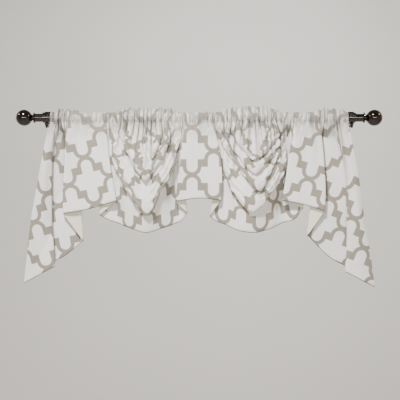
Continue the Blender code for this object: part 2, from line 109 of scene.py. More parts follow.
LEFT_TAIL = table(
    Line,
    (-552, -614, -651, -615, "front", "front", -14, -20),
    (-543, -576, -592, -584, "front", "front", 4),
    (-538, -544, -532, -551, "front", "middle"),
    (-524, -563, -560, -545, "middle", "back"),
    (-516, -506, -492, -509, "back", "back", 3),
    (-506, -456, -431, -457, "back", "middle"),
    (-482, -500, -504, -357, "middle", "front"),
)
LEFT_FLAT = table(
    Line,
    (-410, -410, -400, -338, "front", "front", -5, -6),
    (-346, -329, -308, -310, "front", "middle"),
)
LEFT_SWAG_START = Line(-330, -350, -371, -362, "middle", "back")
LEFT_SWAG_END = Line(-66, -58, -45, -352, "back", "middle")
CENTRE = table(
    Line,
    (-50, -71, -89, -312, "middle", "front"),
    (0, 2, 0, -300, "front", "front", -5, -7),
    (44, 84, 80, -308, "front", "middle"),
)
RIGHT_SWAG_START = Line(60, 58, 38, -366, "middle", "back")
RIGHT_SWAG_END = Line(337, 365, 386, -336, "back", "middle")
RIGHT_FLAT = table(
    Line,
    (353, 328, 306, -308, "middle", "front"),
    (398, 400, 385, -323, "front", "front", -5, -6),
    (443, 465, 464, -347, "front", "middle"),
)
RIGHT_TAIL = table(
    Line,
    (463, 425, 403, -437, "middle", "back"),
    (480, 496, 482, -517, "back", "back", 3),
    (503, 560, 560, -560, "back", "middle"),
    (519, 543, 542, -573, "middle", "front"),
    (535, 580, 600, -603, "front", "front", 4),
    (552, 608, 652, -630, "front", "front", -14, -20),
)

# Lines of a swag between its two side folds: the share of its width on the rod
# and where its hem hangs.
HemPoint = namedtuple("HemPoint", "share x_hem z_hem")
LEFT_SWAG_HEM = table(
    HemPoint,
    (0.10, -346, -377), (0.24, -305, -392), (0.38, -256, -410), (0.52, -195, -426),
    (0.66, -140, -412), (0.80, -90, -394), (0.91, -58, -376),
)
RIGHT_SWAG_HEM = table(
    HemPoint,
    (0.09, 52, -378), (0.22, 104, -400), (0.36, 152, -421), (0.50, 204, -426), (0.64, 256, -414),
    (0.78, 312, -391), (0.91, 365, -370),
)
# How far a swag bulges forward half way down and at its hem, how wide its sides are
# that curve back, and how far inside the flats beside it they start.
SWAG_POUCH_MID = 50.0
SWAG_POUCH_HEM = 34.0
SWAG_SIDE_WIDTH = 120.0
COVER_CLEAR = 7.0

Swag = namedtuple("Swag", "start hem end left_cover right_cover")
LEFT_SWAG = Swag(LEFT_SWAG_START, LEFT_SWAG_HEM, LEFT_SWAG_END, LEFT_FLAT[-1], CENTRE[0])
RIGHT_SWAG = Swag(RIGHT_SWAG_START, RIGHT_SWAG_HEM, RIGHT_SWAG_END, CENTRE[-1], RIGHT_FLAT[0])
SECTIONS = [
    LEFT_TAIL + LEFT_FLAT + [LEFT_SWAG_START],
    LEFT_SWAG,
    [LEFT_SWAG_END] + CENTRE + [RIGHT_SWAG_START],
    RIGHT_SWAG,
    [RIGHT_SWAG_END] + RIGHT_FLAT + RIGHT_TAIL,
]

# ---- folds, some finer than the CAD's
# Folds of a swag, from the top down.  Each hangs as a V from two points near the
# rod to its lowest point; width is how rounded the V is, and roll how far the
# cloth above it rolls forward over the fold.
Drape = namedtuple("Drape", "x_left z_left x_low z_low x_right z_right width roll")
LEFT_SWAG_DRAPES = table(
    Drape,
    (-213, -16, -178, -150, -127, -28, 12, 19), (-298, -40, -190, -226, -89, -34, 16, 25),
    (-334, -121, -193, -345, -78, -121, 42, 15),
)
RIGHT_SWAG_DRAPES = table(
    Drape,
    (114, -40, 203, -145, 303, -50, 30, 20), (92, -50, 204, -198, 316, -60, 28, 21),
    (76, -66, 214, -260, 325, -45, 26, 24), (64, -150, 190, -336, 340, -150, 48, 15),
)
DRAPED_SWAGS = [(LEFT_SWAG, LEFT_SWAG_DRAPES), (RIGHT_SWAG, RIGHT_SWAG_DRAPES)]
# How wide the crease under a drape is, how far the drape hangs over it and from what
# share of its height, and the least distance to the drape above.
DRAPE_CREASE = 10.0
DRAPE_OVERHANG = 13.0
OVERHANG_FROM = 0.5
DRAPES_APART = 4.0
# The swell of the swag at which drapes start, and over which they grow.
DRAPES_FROM_SWELL = 0.03
DRAPES_GROW_OVER = 0.25
# The share of a drape's height by which it is rolled fully forward, the share of its
# roll that it loses again at its lip, and how much room a full roll takes.
ROLL_FULL_BY = 0.7
ROLL_LIP = 0.2
ROLL_NEEDS_ROOM = 0.9
# Lesser folds along a drape's arms: how many, how deep, how sharp, about what level,
# from what slope, how far below the stitching, and over what they come to full depth.
ARM_FOLDS = 4
ARM_FOLD_DEPTH = 10.0
ARM_FOLD_SHARP = 0.8
ARM_FOLD_LEVEL = 0.5
ARM_FOLDS_SLOPE = 0.5
ARM_FOLDS_FROM = 18.0
ARM_FOLDS_GROW = 45.0

# Waves: how far they move a place, over what length across and down the cloth, and
# where they start.  Two pairs make the drapes stray from an even V, across and down.
Wave = namedtuple("Wave", "far across down start")
STRAYS_ACROSS = table(Wave, (3.4, 210, 260, 0.4), (1.8, 67, -140, 2.6))
STRAYS_DOWN = table(Wave, (3.6, 150, 420, 1.7), (1.6, 49, 190, 0.2))

# Height of the gathered heading above the rod's axis, along the rod.
Heading = namedtuple("Heading", "x top")
HEADINGS = table(
    Heading,
    (-552, 19), (-530, 21), (-505, 31), (-470, 31), (-440, 18), (-310, 18), (-265, 31),
    (-110, 33), (-75, 18), (60, 18), (100, 31), (190, 40), (250, 38), (300, 19), (415, 18),
    (440, 29), (515, 31), (554, 19),
)

# The rod pocket about the rod's axis, from its stitched end up the back and down
# the front: forward and z, None at the top of the heading, and how much of the
# gathers' depth puffs it out.
Turn = namedtuple("Turn", "forward z puffed")
POCKET = table(
    Turn,
    (11.5, -21, 0), (2, -20, 0), (-7, -18, 0), (-12.5, -13, 0), (-16.6, -8, 0), (-17.4, 0, -0.2),
    (-16.6, 8, -0.4), (-11.5, 15, -0.3), (-7, None, -0.2), (0, None, 0), (7, None, 0.2),
    (12.5, 14, 0.35), (16.9, 8, 0.5), (18, 0, 0.65), (17.1, -8, 0.8), (15.4, -15, 0.9),
)

# Gathers below the rod: where each group starts and ends along the rod, how many
# pleats it has, how deep they are and how far down they fade.
Gather = namedtuple("Gather", "x_start x_end pleats depth fade")
GATHERS = table(
    Gather,
    (-546, -488, 3, 9, 120), (-478, -436, 2, 8, 150), (-432, -352, 4, 8, 60),
    (-318, -80, 13, 26, 80), (-46, 40, 5, 6, 36), (72, 328, 14, 26, 80), (356, 436, 4, 8, 60),
    (398, 438, 2, 6, 130), (450, 546, 5, 9, 110),
)
# Pleats grow over one part in this many of their group at both its ends, and this
# power makes the valleys between them narrower than the pleats.
GATHER_ENDS = 6.0
PLEAT_SHARP = 0.6
# How the places, depths and lengths of a group's pleats differ: they swing this far
# about a level, this fast, and each group starts this much further on than the last.
Swing = namedtuple("Swing", "level far fast start")
PLEAT_PLACES = Swing(0.0, 0.4, 1.7, 0.37)
PLEAT_DEPTHS = Swing(0.72, 0.28, 2.3, 1.0)
PLEAT_LENGTHS = Swing(0.75, 0.35, 1.31, 2.0)
# The painted shade in the creases between pleats: how wide, the depth of pleat that makes a full one, and
# how much longer than their pleats they last.
CREASE_SPREAD = 0.55
CREASED_BY_DEPTH = 10.0
CREASE_LASTS = 1.7


def smooth(values):
    """A soft step from 0 to 1 as the values go from 0 to 1."""
    held = np.clip(values, 0.0, 1.0)
    return held * held * (3.0 - 2.0 * held)


def through(rod, mid, hem, down):
    """The curve that takes three values at the rod, half way down and at the hem."""
    return rod * (1 - down) * (1 - 2 * down) + mid * 4 * down * (1 - down) + hem * down * (2 * down - 1)


def run(points, axis):
    """The distance run through a grid of points along one of its axes, from 0."""
    steps = np.linalg.norm(np.diff(points, axis=axis), axis=-1)
    return np.concatenate([np.zeros_like(np.take(steps, [0], axis)), np.cumsum(steps, axis)], axis)


def layer_forward(layer, partner, down):
    """How far forward a layer hangs at its fold with its partner: they part just below the rod."""
    place = LAYER_FORWARD[layer]
    if layer == "middle":
        place += MIDDLE_LEAN[partner]
    return STITCH_FORWARD + (place - STITCH_FORWARD) * smooth(down / LAYERS_PART_BY)


def line_x(line, down):
    """Where a line is along the rod, this far down."""
    return through(line.x_rod, line.x_mid, line.x_hem, down)


def line_points(line, down):
    """The points that a line gives to the row this far down: two where the cloth folds."""
    x = line_x(line, down)
    z = -STITCH_DROP + (line.z_hem + STITCH_DROP) * down
    belly = through(0.0, line.belly_mid, line.belly_hem, down)
    sides = [(line.before, line.after), (line.after, line.before)]
    if line.before == line.after:
        sides = sides[:1]
    return [(x, layer_forward(layer, partner, down) + belly, z) for layer, partner in sides]


def swag_swell(swag, x, down):
    """How far out of its side folds a swag has come at x: 0 behind the flats that cover it, to 1."""
    clear = np.minimum(x - line_x(swag.left_cover, down), line_x(swag.right_cover, down) - x)
    return np.sin(0.5 * math.pi * np.clip((clear - COVER_CLEAR) / SWAG_SIDE_WIDTH, 0.0, 1.0))


def swag_points(swag, down):
    """The points that a swag gives to the row this far down, between its two side folds."""
    points = []
    back = layer_forward("back", "back", down)
    for point in swag.hem:
        x_rod = swag.start.x_rod + (swag.end.x_rod - swag.start.x_rod) * point.share
        x = through(x_rod, 0.5 * (x_rod + point.x_hem), point.x_hem, down)
        pouch = STITCH_FORWARD - back + through(0.0, SWAG_POUCH_MID, SWAG_POUCH_HEM, down)
        forward = back + pouch * swag_swell(swag, x, down)
        points.append((x, forward, -STITCH_DROP + (point.z_hem + STITCH_DROP) * down))
    return points


def row_points(down):
    """All guide points of one row, across the cloth."""
    points = []
    for section in SECTIONS:
        if isinstance(section, Swag):
            points += swag_points(section, down)
        else:
            for line in section:
                points += line_points(line, down)
    return points


def row_bends():
    """For each guide point, whether the cloth bends sharply there."""
    bends = []
    for section in SECTIONS:
        if isinstance(section, Swag):
            bends += [False] * len(section.hem)
        else:
            for line in section:
                bends += [False] if line.before == line.after else [True, True]
    return np.array(bends)


def across(knots, points, bends, places):
    """Points of a cubic curve across the cloth, which turns sharply where it bends."""
    gaps = np.diff(knots)
    slopes = np.diff(points, axis=0) / gaps[:, None]
    before = np.vstack([slopes[:1], slopes])
    after = np.vstack([slopes, slopes[-1:]])
    share = np.concatenate([[0.5], gaps[:-1] / (gaps[:-1] + gaps[1:]), [0.5]])[:, None]
    even = before * (1 - share) + after * share
    arrive = np.where(bends[:, None], before, even)
    leave = np.where(bends[:, None], after, even)
    at = np.clip(np.searchsorted(knots, places, side="right") - 1, 0, len(gaps) - 1)
    u = ((places - knots[at]) / gaps[at])[:, None]
    step = gaps[at][:, None]
    return (
        points[at] * (1 + 2 * u) * (1 - u) ** 2
        + leave[at] * step * u * (1 - u) ** 2
        + points[at + 1] * u * u * (3 - 2 * u)
        + arrive[at + 1] * step * u * u * (u - 1)
    )


def rounded(rows):
    """The rows with their folds rounded, by a blur along the cloth that keeps its ends."""
    spread = FOLD_SOFTNESS / GRID_STEP
    reach = int(BLUR_REACH * spread)
    kernel = np.exp(-0.5 * (np.arange(-reach, reach + 1) / spread) ** 2)
    kernel /= kernel.sum()
    lead = 2 * rows[:, :1] - rows[:, reach:0:-1]
    trail = 2 * rows[:, -1:] - rows[:, -2 : -reach - 2 : -1]
    padded = np.concatenate([lead, rows, trail], axis=1)
    return np.array(
        [np.stack([np.convolve(row[:, k], kernel, "valid") for k in range(3)], axis=1) for row in padded]
    )


def cloth_knots():
    """How far across the cloth each guide point lies, on average over its lower half."""
    probes = np.array([row_points(down) for down in KNOT_DOWNS])
    return run(probes[:, :, :2], 1).mean(axis=0)


def base_cloth(downs):
    """The cloth without its drapes: rows of (x, forward, z) every GRID_STEP across its width."""
    knots = cloth_knots()
    places = np.arange(0.0, knots[-1], GRID_STEP)
    bends = row_bends()
    return rounded(np.array([across(knots, np.array(row_points(down)), bends, places) for down in downs]))


def print_side(rows):
    """Unit normals of the printed side, in (x, forward, z)."""
    normals = np.cross(np.gradient(rows, axis=1), np.gradient(rows, axis=0))
    return normals / np.maximum(np.linalg.norm(normals, axis=2, keepdims=True), TINY)


def drape_line(drape, x):
    """Height of one drape's V above each x."""
    away = x - drape.x_low
    left = math.hypot(drape.x_low - drape.x_left, drape.width) - drape.width
    right = math.hypot(drape.x_right - drape.x_low, drape.width) - drape.width
    bend = np.sqrt(away * away + drape.width**2) - drape.width
    rise_left = (drape.z_left - drape.z_low) / left
    rise_right = (drape.z_right - drape.z_low) / right
    return drape.z_low + np.where(away < 0, rise_left, rise_right) * bend


def waved(waves, x, z):
    """How far some waves move each place."""
    return sum(w.far * np.sin(2 * math.pi * (x / w.across + z / w.down) + w.start) for w in waves)


def drape_relief(drapes, x, z):
    """How far the drapes roll the cloth forward, and how far it hangs over the fold below."""
    x, z = x + waved(STRAYS_ACROSS, x, z), z + waved(STRAYS_DOWN, x, z)
    relief = np.zeros_like(x)
    hang = np.zeros_like(x)
    start = np.full_like(x, -0.5 * STITCH_DROP)
    grown = smooth((-STITCH_DROP - ARM_FOLDS_FROM - z) / ARM_FOLDS_GROW)
    for drape in drapes:
        line = np.minimum(drape_line(drape, x), start - DRAPES_APART)
        slope = (drape_line(drape, x + 1.0) - drape_line(drape, x - 1.0)) / 2.0
        steep = np.sqrt(1 + slope * slope)
        room = (start - line) / steep
        full = 1 - np.exp(-room / (ROLL_NEEDS_ROOM * drape.roll))
        share = (start - z) / (start - line)
        below = (line - z) / (DRAPE_CREASE * np.sqrt(steep))
        lip = 1 - ROLL_LIP * smooth((share - (1 - ROLL_LIP)) / ROLL_LIP)
        rising = smooth(share / ROLL_FULL_BY) * lip * (share < 1.0)
        dropping = (1 - ROLL_LIP) * (1 - smooth(below)) * (share >= 1.0)
        inside = share > 0
        arms = smooth(np.abs(slope) / ARM_FOLDS_SLOPE - 1.0) * grown * (share < 1.0)
        wave = np.abs(np.sin(math.pi * ARM_FOLDS * share)) ** ARM_FOLD_SHARP
        folds = ARM_FOLD_DEPTH * arms * (wave - ARM_FOLD_LEVEL)
        relief = np.maximum(relief, full * (drape.roll * (rising + dropping) + folds) * inside)
        over = smooth((share - OVERHANG_FROM) / (1 - OVERHANG_FROM))
        lean = np.where(share < 1.0, over, 1 - smooth(below))
        hang = np.maximum(hang, DRAPE_OVERHANG * full * lean * inside / steep)
        start = line - DRAPE_CREASE * np.sqrt(steep)
    return relief, hang


def swung(swing, turn, index):
    """The value of a swing this far along its group of pleats."""
    return swing.level + swing.far * np.sin(swing.fast * turn + swing.start * index)


def gathered_groups(x_rod, below):
    """For each group: its depth, how far its uneven pleats have turned, and the share left below."""
    for index, gather in enumerate(GATHERS):
        share = (x_rod - gather.x_start) / (gather.x_end - gather.x_start)
        inside = smooth(GATHER_ENDS * share) * smooth(GATHER_ENDS * (1 - share))
        moved = swung(PLEAT_PLACES, 2 * math.pi * share, 2 * math.pi * index)
        turn = math.pi * gather.pleats * (share + moved / gather.pleats)
        depth = gather.depth * swung(PLEAT_DEPTHS, turn, index)
        fade = gather.fade * swung(PLEAT_LENGTHS, turn, index)
        yield depth, turn, inside * np.exp(-below / fade)


def gathers(x_rod, below):
    """Depth of the pleats at each place along the rod, fading below it."""
    depth = np.zeros(np.broadcast(x_rod, below).shape)
    for deep, turn, left in gathered_groups(x_rod, below):
        depth += deep * np.abs(np.sin(turn)) ** PLEAT_SHARP * left
    return depth


def gather_creases(x_rod, below):
    """How near each place is to a crease between pleats, 1 in the deepest creases: the mask of their painted
    shade and bump.
    """
    near = np.zeros(np.broadcast(x_rod, below).shape)
    for deep, turn, left in gathered_groups(x_rod, below):
        crease = np.exp(-((np.sin(turn) / CREASE_SPREAD) ** 2))
        near = np.maximum(near, crease * np.clip(CREASE_LASTS * left * deep / CREASED_BY_DEPTH, 0, 1))
    return near


# ---- the cloth's form
# The fine grid, how its rows close up toward the hem, and how far apart its columns
# are: in all, in the swags, and in radians of the cloth's turning at these rows.
FINE_COLUMNS = 486
FINE_ROWS = 84
ROWS_CLOSE_UP = 0.92
COLUMN_SPACING = 8.0
SWAG_COLUMN_SPACING = 2.9
TURN_PER_COLUMN = 0.16
TURN_DOWNS = np.linspace(0.2, 1.0, 9)

# Small crinkles of the gathered heading: how far apart, how deep and where they start.
# They stand about a level, swing unevenly along the rod, are slighter between the
# gathers and full this far inside them, and move the pocket's front out, its back
# less, nothing below one height, and its top up.
Crinkle = namedtuple("Crinkle", "spacing depth start")
CRINKLES = table(Crinkle, (11.9, 1.4, 0.4), (17.3, 2.0, 1.9), (29.1, 2.0, 4.1), (61.7, 1.0, 2.7))
CRINKLE_LEVEL = 1.2
CRINKLE_UNEVEN = 31.0
CRINKLE_SHIFT = 0.5
FLAT_CRINKLE = 0.5
CRINKLE_FULL_BY = 20
CRINKLE_OUT = 1.5
CRINKLE_OUT_LEAST = -1.0
CRINKLE_BEHIND = -0.4
CRINKLES_END = -10
CRINKLE_UP = 1.9
# The heading's least height above the axis, and how its top rounds off.
HEADING_LEAST = 17.6
HEADING_ROUNDS = 0.25

# Slight waves of the hanging cloth, and how far below the rod they are full.
WAVES = table(Wave, (1.1, 83, 900, 0.3), (1.2, 131, -420, 2.2), (0.5, 57, 310, 1.1), (1.3, 211, 260, 5.0))
WAVES_GROW_OVER = 60.0
# How far the pocket's stitching draws the cloth in, and how far above and below it.
STITCH_DEPTH = 2.6
STITCH_SPREAD = 5.0


def crinkles(x_rod):
    """How far the heading stands out of its smooth form at each place along the rod."""
    uneven = CRINKLE_SHIFT * np.sin(x_rod / CRINKLE_UNEVEN)
    stand = 0.0
    for crinkle in CRINKLES:
        turn = math.pi * x_rod / crinkle.spacing + crinkle.start + uneven
        stand = stand + crinkle.depth * (2 * np.abs(np.sin(turn)) - CRINKLE_LEVEL)
    full = sum(
        smooth((x_rod - g.x_start) / CRINKLE_FULL_BY) * smooth((g.x_end - x_rod) / CRINKLE_FULL_BY)
        for g in GATHERS
    )
    return stand * (FLAT_CRINKLE + (1 - FLAT_CRINKLE) * np.clip(full, 0, 1))


def pocket_rows(x_rod):
    """The rod pocket, from its stitched end up the back of the rod and down its front."""
    crinkle = crinkles(x_rod)
    top = np.interp(x_rod, [h.x for h in HEADINGS], [h.top for h in HEADINGS])
    top = np.maximum(top + CRINKLE_UP * crinkle, HEADING_LEAST)
    puff = gathers(x_rod, 0.0)
    rows = []
    for turn in POCKET:
        outward = 1.0 if turn.forward > 0 else CRINKLE_BEHIND
        if turn.z is not None and turn.z < CRINKLES_END:
            outward = 0.0
        forward = ROD_FORWARD + turn.forward + turn.puffed * puff
        forward = forward + outward * np.maximum(CRINKLE_OUT * crinkle, CRINKLE_OUT_LEAST)
        z = top - abs(turn.forward) * HEADING_ROUNDS if turn.z is None else np.full_like(x_rod, turn.z)
        rows.append(np.stack([x_rod, forward, z], axis=1))
    return np.array(rows)


def face_rows():
    """The printed cloth's middle points, row by row, its places on the rod, and the mask of painted shade in
    its creases.
    """
    downs = np.linspace(0.0, 1.0, FINE_ROWS) ** ROWS_CLOSE_UP
    body = base_cloth(downs)
    x, z = body[:, :, 0], body[:, :, 2]
    x_rod = body[0, :, 0]
    below = -STITCH_DROP - z
    lie = waved(WAVES, np.arange(body.shape[1]) * GRID_STEP, z) * smooth(below / WAVES_GROW_OVER)
    drawn_in = STITCH_DEPTH * np.exp(-((below / STITCH_SPREAD) ** 2))
    relief = gathers(x_rod, below) + lie - drawn_in
    sink = np.zeros_like(x)
    for swag, drapes in DRAPED_SWAGS:
        within = np.nonzero((x_rod > swag.start.x_rod) & (x_rod < swag.end.x_rod))[0]
        swell = swag_swell(swag, x[:, within], downs[:, None])
        grown = smooth((swell - DRAPES_FROM_SWELL) / DRAPES_GROW_OVER)
        roll, hang = drape_relief(drapes, x[:, within], z[:, within])
        relief[:, within] += roll * grown
        sink[:, within] = hang * grown
    below = np.concatenate([np.zeros((len(POCKET), len(x_rod))), np.maximum(below, 0)])
    creases = gather_creases(x_rod, below)
    body = body + print_side(body) * relief[:, :, None]
    body[:, :, 2] -= sink
    return np.concatenate([pocket_rows(x_rod), body]), x_rod, creases


def fine_columns(x_rod):
    """The columns of the grid that are kept: close in the swags and where the cloth turns."""
    body = base_cloth(TURN_DOWNS)
    steps = np.diff(body[:, :, :2], axis=1)
    steps /= np.maximum(np.linalg.norm(steps, axis=2, keepdims=True), TINY)
    turning = np.linalg.norm(np.diff(steps, axis=1), axis=2).mean(axis=0)
    spacing = np.full(len(turning), COLUMN_SPACING)
    for swag, _ in DRAPED_SWAGS:
        within = (x_rod[1:-1] > swag.start.x_rod) & (x_rod[1:-1] < swag.end.x_rod)
        spacing[within] = SWAG_COLUMN_SPACING
    cost = np.cumsum(GRID_STEP / spacing + turning / TURN_PER_COLUMN)
    wanted = np.linspace(0.0, cost[-1], FINE_COLUMNS)
    columns = np.interp(wanted, cost, np.arange(len(cost)))
    columns[-1] = body.shape[1] - 1
    return np.unique(np.rint(columns).astype(int))


# ---- where the print lies
# The print repeats in a half-drop: every PRINT_WIDE across and PRINT_HIGH down.
PRINT_WIDE = 158.0
PRINT_HIGH = 175.0
# How far down its rows the print of one stretch is matched to the next.
MATCHED_AT = 0.75

# Flat stretches of cloth: their first and last guide points, how far their grain
# turns from upright, and a place on the cloth where two of the print's cells meet.
Stretch = namedtuple("Stretch", "first last turn x z")
STRETCHES = table(
    Stretch,
    (0, 2, 17, -607, -388), (5, 7, 9, -494, -500), (10, 12, 13.5, -424, -149), (26, 28, 0, -26.3, -38),
    (42, 44, -15.5, 406, -228), (47, 49, -22, 493, -303), (52, 54, -22, 569, -373),
)
# Swags: their first and last guide points, and where two cells of the print meet
# near the hem: how far along the rod, and how far up the cloth from its hem.
Drop = namedtuple("Drop", "first last x above_hem")
DROPS = [Drop(15, 23, -189, 84), Drop(31, 39, 150, 92)]


def nearest_repeat(move):
    """The step of the print's half-drop repeat that is nearest to a move across and up."""
    size = np.array([PRINT_WIDE, PRINT_HIGH])
    steps = [(np.round(move / size - half) + half) * size for half in (0.0, 0.5)]
    return min(steps, key=lambda step: np.linalg.norm(step - move))


def print_places(rows, columns):
    """The print's own place at every point of the cloth: across and up, in millimetres."""
    knots = cloth_knots()
    across_at = columns * GRID_STEP
    pocket = len(POCKET)
    length = run(rows, 0)
    length = length - length[pocket]
    height = np.where(np.arange(len(rows))[:, None] < pocket, -STITCH_DROP - length, rows[:, :, 2])
    arc = run(rows, 1)
    places = []
    for stretch in STRETCHES:
        turn = math.radians(stretch.turn)
        dx, dz = rows[:, :, 0] - stretch.x, height - stretch.z
        u = dx * math.cos(turn) + dz * math.sin(turn)
        v = PRINT_HIGH / 2 - dx * math.sin(turn) + dz * math.cos(turn)
        places.append((stretch.first, stretch.last, np.array([u, v])))
    for drop in DROPS:
        first, last = np.searchsorted(across_at, [knots[drop.first], knots[drop.last]])
        start, end = arc[:, first : first + 1], arc[:, last : last + 1]
        u = (arc - start) / (end - start) * (arc[-1, last] - arc[-1, first])
        u = u - np.interp(drop.x, rows[-1, first:last, 0], u[-1, first:last])
        v = PRINT_HIGH / 2 - drop.above_hem + length[-1] - length
        places.append((drop.first, drop.last, np.array([u, v])))
    places.sort(key=lambda place: place[0])
    lain = np.zeros((2, *rows.shape[:2]))
    low = int(MATCHED_AT * len(rows))
    before = 0
    for first, last, here in places:
        own = (across_at >= knots[first]) & (across_at <= knots[last])
        if before:
            left, right = np.searchsorted(across_at, [knots[before], knots[first]])
            wide = knots[first] - knots[before]
            move = there[:, low, left] + (wide, 0) - here[:, low, right]
            here = here + nearest_repeat(move)[:, None, None]
            between = (across_at > knots[before]) & (across_at < knots[first])
            share = smooth((across_at[between] - knots[before]) / wide)
            lain[:, :, between] = there[:, :, between] * (1 - share) + here[:, :, between] * share
        lain[:, :, own] = here[:, :, own]
        before, there = last, here
    return lain


# ---- materials
# Colours of the bare cotton, the ink and the lining, and of the painted shade in the gathers' creases and
# along the hem.
GROUND = (0.83, 0.815, 0.78)
TAUPE = (0.255, 0.228, 0.187)
CREAM = (0.83, 0.80, 0.65)
CREASE_PAINTED_SHADE = (0.22, 0.205, 0.18)
HEM_SHADE = (0.06, 0.056, 0.036)
# How much of the painted shade is laid into the creases and along the hem.
CREASE_SHADE_SHARE = 0.95
HEM_SHADE_SHARE = 0.9
# How wide the painted shade along the hem is, and over what more it fades, in millimetres.
HEM_LINE = 2.6
HEM_FADE = 1.0

# How far a pattern turns a colour to a lighter or darker shade of itself.
Tone = namedtuple("Tone", "share shade")
SLUB_TONE = Tone(0.35, 0.93)
WOVEN_TONE = Tone(0.45, 1.16)
PATCHY_TONE = Tone(0.5, 0.9)
LINING_TONE = Tone(1.0, 0.93)
BRONZE_TONE = Tone(1.0, 1.8)

# Noise over a cloth: how fast it changes across and down, for each millimetre, how
# many finer layers it has and how strong they are.  Two of them move things this far.
Grain = namedtuple("Grain", "across down detail rough", defaults=(0.5,))
PRINT_RAGGED = Grain(0.9, 0.9, 2.0)
SLUB = Grain(0.05, 0.05, 3.0)
INK_PATCHY = Grain(0.02, 0.02, 3.0)
THREADS_UNEVEN = Grain(0.02, 0.7, 2.0)
LINING_SLUB = Grain(0.01, 0.5, 3.0)
WRINKLES = Grain(0.045, 0.016, 4.0, 0.55)
RAGGED_BY = 1.6
UNEVEN_BY = 0.8

# Relief: its strength, and its height in metres.
Relief = namedtuple("Relief", "strength height")
COTTON_WRINKLED = Relief(0.55, 0.006)
COTTON_CREASED = Relief(0.9, 0.004)
COTTON_EDGED = Relief(0.6, 0.0004)
COTTON_WOVEN = Relief(0.3, 0.0003)
LINING_WRINKLED = Relief(0.5, 0.006)
LINING_WOVEN = Relief(0.25, 0.0002)
BRONZE_BRUSHED = Relief(0.05, 0.0001)
# Dark bronze: the scale of its mottling and brushing, and how its gloss swings.
BRONZE_MOTTLE = 55.0
BRONZE_BRUSH = 900.0
BRONZE_ROUGH_SWING = 0.14


class Nodes:
    """Short ways to add shader nodes to a material."""

    def __init__(self, name):
        self.material = bpy.data.materials.new(name)
        self.material.use_nodes = True
        self.tree = self.material.node_tree
        self.shader = self.tree.nodes["Principled BSDF"]

    def add(self, kind, **settings):
        node = self.tree.nodes.new(kind)
        for key, value in settings.items():
            setattr(node, key, value)
        return node

    def link(self, value, socket):
        """Sets a socket to a plain value, or links another node's output to it."""
        if hasattr(value, "is_output"):
            self.tree.links.new(value, socket)
        else:
            socket.default_value = value

    def fill(self, node, **values):
        """Sets or links a node's sockets by name, with _ for a space."""
        for name, value in values.items():
            self.link(value, node.inputs[name.replace("_", " ")])

    def math(self, operation, *values, clamp=False):
        node = self.add("ShaderNodeMath", operation=operation, use_clamp=clamp)
        for value, socket in zip(values, node.inputs):
            self.link(value, socket)
        return node.outputs[0]

    def times(self, value, factor):
        return self.math("MULTIPLY", value, factor)

    def less(self, value, taken):
        return self.math("SUBTRACT", value, taken)

    def mix(self, share, first, second):
        node = self.add("ShaderNodeMix", data_type="RGBA")
        self.link(share, node.inputs[0])
        for value, socket in ((first, node.inputs[6]), (second, node.inputs[7])):
            self.link((*value, 1.0) if isinstance(value, tuple) else value, socket)
        return node.outputs[2]

    def noise(self, vector, scale, detail=2.0, rough=0.5):
        node = self.add("ShaderNodeTexNoise")
        self.fill(node, Vector=vector, Scale=scale, Detail=detail, Roughness=rough)
        return node.outputs[0]

    def bump(self, height, relief, over=None):
        node = self.add("ShaderNodeBump")
        self.fill(node, Strength=relief.strength, Distance=relief.height, Height=height)
        if over is not None:
            self.link(over, node.inputs["Normal"])
        return node.outputs[0]

    def set(self, **values):
        self.fill(self.shader, **values)


# One cell of the print, about its middle, in millimetres: its round lobes above and
# below, its body, the band between cells, and how soft the ink's edge is.
LOBE_RADIUS = 20.4
LOBE_AT = 57.4
BODY_HALF = 29.6
BAND = 14.2
PRINT_EDGE = 0.5
# Threads of the two cloths, and the seam allowance inside their edges, in millimetres.
COTTON_PITCH = 0.9
LINING_PITCH = 0.6
SEAM_ALLOWANCE = 11.0
SEAM_SOFTNESS = 1.2


def cell_depth(nodes, u, v, shift):
    """How far outside the print's cells a place is, the cells moved by a share of a repeat."""
    along = []
    for value, step in ((u, PRINT_WIDE), (v, PRINT_HIGH)):
        turns = nodes.math("ADD", nodes.math("DIVIDE", value, step), 0.5 + shift)
        place = nodes.less(nodes.math("FRACT", turns), 0.5)
        along.append(nodes.times(nodes.math("ABSOLUTE", place), step))
    p, q = along

    def away(p_from, q_value):
        wide = nodes.less(p, p_from)
        high = nodes.times(q_value, q_value)
        return nodes.math("SQRT", nodes.math("ADD", nodes.times(wide, wide), high))

    past = nodes.math("MAXIMUM", nodes.less(q, LOBE_AT), 0.0)
    lobe = nodes.less(away(0.0, past), LOBE_RADIUS)
    beside = nodes.less(q, PRINT_HIGH / 2 - LOBE_AT)
    scoop = nodes.less(LOBE_RADIUS + BAND, away(PRINT_WIDE / 2, beside))
    body = nodes.math("MAXIMUM", nodes.less(q, BODY_HALF), scoop)
    body = nodes.math("MAXIMUM", body, nodes.less(p, PRINT_WIDE / 2))
    return nodes.math("MINIMUM", lobe, body)


def cloth_places(nodes, layer):
    """A sheet's own two coordinates at each point, in millimetres."""
    split = nodes.add("ShaderNodeSeparateXYZ")
    nodes.link(nodes.add("ShaderNodeUVMap", uv_map=layer).outputs[0], split.inputs[0])
    return [nodes.times(split.outputs[k], 1 / MM) for k in (0, 1)]


def joined(nodes, *values):
    """A vector of these values."""
    vector = nodes.add("ShaderNodeCombineXYZ")
    for value, socket in zip(values, vector.inputs):
        nodes.link(value, socket)
    return vector.outputs[0]


def grain(nodes, u, v, kind):
    """Noise over a sheet's own two coordinates."""
    place = joined(nodes, nodes.times(u, kind.across), nodes.times(v, kind.down))
    return nodes.noise(place, 1.0, kind.detail, kind.rough)


def toned(nodes, pattern, tone, colour, base=None):
    """A base colour, or this one, turned to a shade of this colour where the pattern is high."""
    share = nodes.times(pattern, tone.share)
    return nodes.mix(share, base or colour, tuple(part * tone.shade for part in colour))


